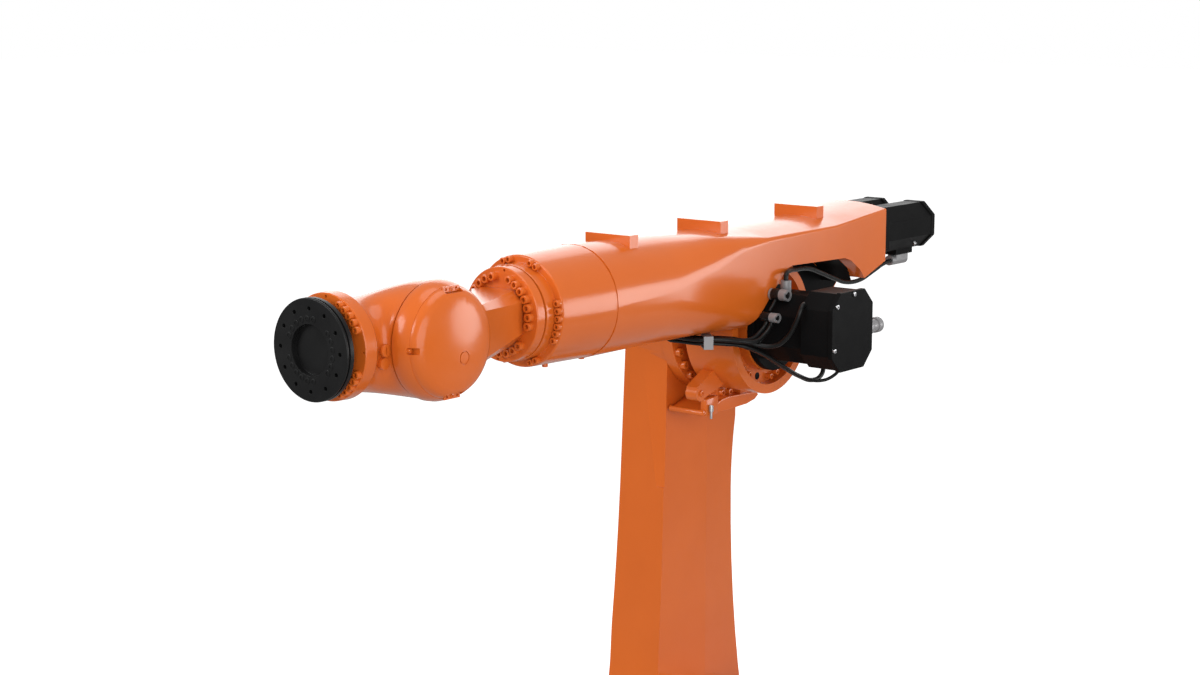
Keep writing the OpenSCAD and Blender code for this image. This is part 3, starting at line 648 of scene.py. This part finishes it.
# %% Motor screws and plug socket
motor_low, motor_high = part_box("elbow_motor_cap")
end_places = ((0.122, 0.103), (0.134, -0.022), (0.034, 0.130))
end_seats = [(off(ELBOW, x, motor_high.y, z), LEFT) for x, z in end_places]
set_screws("motor_end_screws", "arm", "bare_steel", end_seats, head=0.013, height=0.006)
side_seats = [
    (off(ELBOW, -0.068, 0.380, 0.066), -AHEAD),
    (off(ELBOW, -0.048, 0.380, -0.061), (-AHEAD - UP).normalized()),
    (off(ELBOW, -0.749, 0.130, 0.181), (LEFT - UP).normalized()),
]
set_screws("motor_side_screws", "arm", "bare_steel", side_seats, head=0.013, height=0.010)
socket_root = Vector((motor_low.x, 0.375, ELBOW.z + 0.018))
socket_steps = ((-0.005, 0.020, 0.024), (0.020, 0.046, 0.020), (0.046, 0.068, 0.023))
socket_rods = [(socket_root - near * AHEAD, socket_root - far * AHEAD, r) for near, far, r in socket_steps]
plug_socket = set_rods("motor_plug_socket", "arm", "connector_metal", socket_rods, bevel=0.002)
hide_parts("elbow_connector")

# %% [markdown]
# Two cable connectors look to the left. Each has a dark sleeve over its rear part, which paints the shade
# that falls there, and ends in a split ring round a dark core. Their bodies are in the CAD, so only these
# small parts are added. A row holds the middle of the end face and its radius, and the parts keep their
# proportion to it.

# %% Cable connectors
RING_DEPTH = 0.004
RING_HOLE = 0.62
CORE_SIZE = 0.6
CORE_RISE = 0.0015
SHADE_SLEEVE_RISE = 0.0005
SHADE_SLEEVE_START = 0.050
SHADE_SLEEVE_END = 0.022
connector_ends = [
    (off(OVER_ELBOW, 0.090, 0.210, -0.0505), 0.017),
    (off(OVER_ELBOW, 0.1343, 0.206, -0.1115), 0.014),
]
rings = bmesh.new()
for centre, radius in connector_ends:
    split_ring(rings, centre, RING_HOLE * radius, radius, RING_DEPTH)
bmesh.ops.recalc_face_normals(rings, faces=rings.faces)
shade_smooth(rings, FITTING_CREASE)
add_piece(rings, "connector_rings", "arm", "connector_metal")
cores = [(c, c + CORE_RISE * LEFT, CORE_SIZE * r) for c, r in connector_ends]
set_rods("connector_cores", "arm", "cable_rubber", cores, bevel=0.0003)
# Dark sleeves over the connectors' rear parts: painted shade.
shade_sleeves = [(c - SHADE_SLEEVE_START * LEFT, c - SHADE_SLEEVE_END * LEFT, r + SHADE_SLEEVE_RISE) for c, r in connector_ends]
set_rods("connector_shade_sleeves", "arm", "cable_rubber", shade_sleeves)

# %% [markdown]
# The stop block is held by two screws, and the lug beside it has a pin with a hexagon socket. A pin could
# be a rod, but the low cap screw already has the socket.

# %% Stop screws and lug pin
STOP_BODY = BODY["stop_block"]
stop_seats = [(off(ELBOW, x, -0.058, z), LEFT) for x, z in ((0.043, -0.210), (0.005, -0.213))]
set_screws("stop_screws", STOP_BODY, "orange_paint", stop_seats, head=0.020, height=0.012)
lug_seat = (off(ELBOW, 0.222, 0.003, -0.180), LEFT)
set_screws("lug_pin_socket", "arm", "orange_paint", [lug_seat], head=0.019, height=0.003)

# %% [markdown]
# Deep inside the arch the shade is painted: thin black plates lie on the casting's inner wall and along
# its ceiling, where the arm is only in shadow. Some faces of the casting could be painted dark instead, but
# their borders would follow its facets. Thin plates have an outline of their own: places ahead and up,
# drawn out from one depth across the arm to another.

# %% Painted shade in the arch
PLATE = 0.001
PLATE_BEVEL = 0.0003
PLATE_EDGE = 28
ARCH_WALL = -0.010
ARCH_LIP = 0.104


def outline_plate(name, body, slot, origin, outline, low, high, bevel):
    bm = bmesh.new()
    face = bm.faces.new([bm.verts.new(off(origin, x, low, z)) for x, z in outline])
    drawn = bmesh.ops.extrude_face_region(bm, geom=[face])["geom"]
    bmesh.ops.translate(bm, vec=(0, high - low, 0), verts=only(bmesh.types.BMVert, drawn))
    bmesh.ops.recalc_face_normals(bm, faces=bm.faces)
    round_edges(bm, sharp_edges(bm, PLATE_EDGE), bevel)
    shade_smooth(bm, FITTING_CREASE)
    print(name, len(outline), "corners")
    add_piece(bm, name, body, slot)


arch_outline = [
    (0.060, -0.138), (0.060, -0.040), (0.012, 0.002), (-0.025, 0.016),
    (-0.170, 0.012), (-0.310, 0.008), (-0.346, -0.003), (-0.396, -0.035),
    (-0.425, -0.066), (-0.522, -0.034), (-0.513, -0.097), (-0.469, -0.138),
]
# Black plate on the arch's inner wall: painted shade in place of the deep shadow there.
outline_plate("arch_wall_shade_plate", "arm", "black_paint", OVER_ELBOW, arch_outline,
              low=ARCH_WALL, high=ARCH_WALL + PLATE, bevel=PLATE_BEVEL)
ceiling = [
    (-0.025, 0.020), (-0.170, 0.016), (-0.310, 0.012),
    (-0.346, 0.001), (-0.396, -0.031), (-0.425, -0.081),
]
ceiling_shade_outline = [(x + PLATE, z - PLATE) for x, z in ceiling]
ceiling_shade_outline += [(x - PLATE, z + PLATE) for x, z in reversed(ceiling)]
# Black plate along the arch's ceiling: painted shade as well.
outline_plate("arch_ceiling_shade_plate", "arm", "black_paint", OVER_ELBOW, ceiling_shade_outline,
              low=ARCH_WALL + PLATE, high=ARCH_LIP, bevel=PLATE_BEVEL)

# %% [markdown]
# The stop ledge below the drum has a tab that carries the grease fitting, a web up to the drum and a
# rounded nose. Tab and web are plates again, and the nose is a rod, which is rounder than a bevel. On the
# drum's pocket floor thin black discs paint the shade inside a hole between its screws and in the
# pocket's shadow further round. Holes could be cut, but at this size the discs look the same.

# %% Stop ledge and painted pocket shade
LEDGE_BEVEL = 0.002
SHADE_DISC_RISE = 0.0012
SHADE_DISC_R = 0.011
tab_outline = [(0.162, -0.262), (0.100, -0.262), (0.100, -0.207), (0.162, -0.211)]
outline_plate("stop_tab", STOP_BODY, "orange_paint", ELBOW, tab_outline,
              low=-0.045, high=-0.0249, bevel=LEDGE_BEVEL)
web_outline = [(-0.030, -0.224), (-0.105, -0.234), (-0.100, -0.172), (-0.030, -0.196)]
outline_plate("stop_web", STOP_BODY, "orange_paint", ELBOW, web_outline,
              low=-0.075, high=-0.036, bevel=LEDGE_BEVEL)
nose = (off(ELBOW, 0.168, -0.153, -0.2515), off(ELBOW, 0.168, -0.027, -0.2515), 0.009)
set_rods("ledge_nose", STOP_BODY, "orange_paint", [nose], bevel=0.003)
# Black discs on the pocket floor: painted shade of a hole and of the pocket's shadow.
shade_disc_seats = elbow_seats(pocket_floor, radius=0.151, angles=(-150, -80))
shade_discs = [(point, point + SHADE_DISC_RISE * axis, SHADE_DISC_R) for point, axis in shade_disc_seats]
set_rods("pocket_shade_discs", "arm", "black_paint", shade_discs, bevel=0.0003)

# %% [markdown]
# The hand has two screw plugs on its neck, one of them slotted. The bend drum has a pin in its notch and
# a screw in the middle of each clip, and the arm has two drain plugs on its underside. All are round
# heads, so the screw and rod helpers make them.

# %% Wrist fittings
CLIP_RADIUS = 0.131
DRAIN_TOP = BEND.z - 0.148
DRAIN_END = BEND.z - 0.1575
DRAIN_Y = 0.02
slotted_seat = (off(BEND, 0.159, 0.119, -0.006), LEFT)
set_screws("slotted_plug", "hand", "orange_paint", [slotted_seat], head=0.030, height=0.0055, slotted=True)
plain_plug = (off(BEND, 0.158, 0.104, -0.038), off(BEND, 0.158, 0.1185, -0.038), 0.0145)
set_rods("plain_plug", "hand", "orange_paint", [plain_plug])
notch_pin = (off(BEND, 0.135, 0.168, -0.0035), off(BEND, 0.135, 0.180, -0.0035), 0.005)
set_rods("notch_pin", "wrist", "orange_paint", [notch_pin])
clip_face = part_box("bend_clips")[1].y
clip_seats = [(off(BEND, 0, clip_face, z), LEFT) for z in (CLIP_RADIUS, -CLIP_RADIUS)]
set_screws("clip_screws", "wrist", "orange_paint", clip_seats, head=0.011, height=0.002)
drains = [(Vector((x, DRAIN_Y, DRAIN_TOP)), Vector((x, DRAIN_Y, DRAIN_END)), 0.008) for x in (1.301, 1.454)]
set_rods("drain_plugs", "arm", "orange_paint", drains)

# %% [markdown]
# The arm stands on a pale floor in a pale room. To the camera alone both are white, as in the photograph.
# A white floor would do that too, but it would throw too much light up at the arm. So the strength of
# both depends on whether a ray comes from the camera.

# %% Floor and room
FLOOR_HALF_SIDE = 60
FLOOR_GREY = (0.45, 0.45, 0.45, 1)
FLOOR_ROUGHNESS = 0.9
FLOOR_GLOW = 0.9
ROOM_STRENGTH = 0.5
WHITE = (1, 1, 1, 1)


def to_camera(tree, low, high):
    path = tree.nodes.new("ShaderNodeLightPath")
    return spread(tree, path.outputs["Is Camera Ray"], 0, 1, low, high)


floor_bm = bmesh.new()
bmesh.ops.create_grid(floor_bm, x_segments=1, y_segments=1, size=FLOOR_HALF_SIDE)
floor_mesh = bpy.data.meshes.new("studio_floor")
floor_bm.to_mesh(floor_mesh)
floor_bm.free()
floor = bpy.data.objects.new("studio_floor", floor_mesh)
scene.collection.objects.link(floor)

floor_paint = bpy.data.materials.new("pale_floor")
floor_paint.use_nodes = True
floor_tree = floor_paint.node_tree
floor_shader = floor_tree.nodes["Principled BSDF"]
floor_shader.inputs["Base Color"].default_value = FLOOR_GREY
floor_shader.inputs["Roughness"].default_value = FLOOR_ROUGHNESS
floor_shader.inputs["Specular IOR Level"].default_value = 0.0
floor_shader.inputs["Emission Color"].default_value = WHITE
floor_tree.links.new(to_camera(floor_tree, 0, FLOOR_GLOW), floor_shader.inputs["Emission Strength"])
floor_mesh.materials.append(floor_paint)

world = bpy.data.worlds.new("studio_world")
scene.world = world
world.use_nodes = True
world_tree = world.node_tree
sky = world_tree.nodes["Background"]
sky.inputs["Color"].default_value = WHITE
world_tree.links.new(to_camera(world_tree, ROOM_STRENGTH, 1.0), sky.inputs["Strength"])
print("floor", floor.name, "room", world.name)

# %% [markdown]
# A studio is lit by wide, soft lamps. A sun or a spot would draw hard shadows, so these are area lamps.
# The wide one behind the camera fills the sides, and smaller ones above and at the left, right and rear
# draw the highlights.

# %% Lamps
def lamp(name, place, aim, size, power):
    light = bpy.data.lights.new(name, "AREA")
    light.shape = "DISK"
    light.size = size
    light.energy = power
    stand = bpy.data.objects.new(name, light)
    stand.location = place
    stand.rotation_mode = "QUATERNION"
    stand.rotation_quaternion = (Vector(aim) - Vector(place)).to_track_quat("-Z", "Y")
    scene.collection.objects.link(stand)
    print(name, power, "W")


lamp("overhead_softbox", place=(1.2, 0.6, 6.5), aim=(0.9, 0, 2.2), size=3.5, power=60)
lamp("front_wall", place=(6.5, 7.6, 3.6), aim=(1.0, 0, 2.2), size=10.0, power=660)
lamp("left_softbox", place=(-4.3, 5.1, 2.5), aim=(0.9, 0, 2.5), size=3.0, power=120)
lamp("right_softbox", place=(6.0, -2.3, 4.7), aim=(1.8, 0, 2.5), size=3.0, power=150)
lamp("rear_softbox", place=(-4.1, -3.4, 4.6), aim=(0.5, 0, 2.65), size=6.0, power=150)
scene.view_settings.view_transform = "Standard"
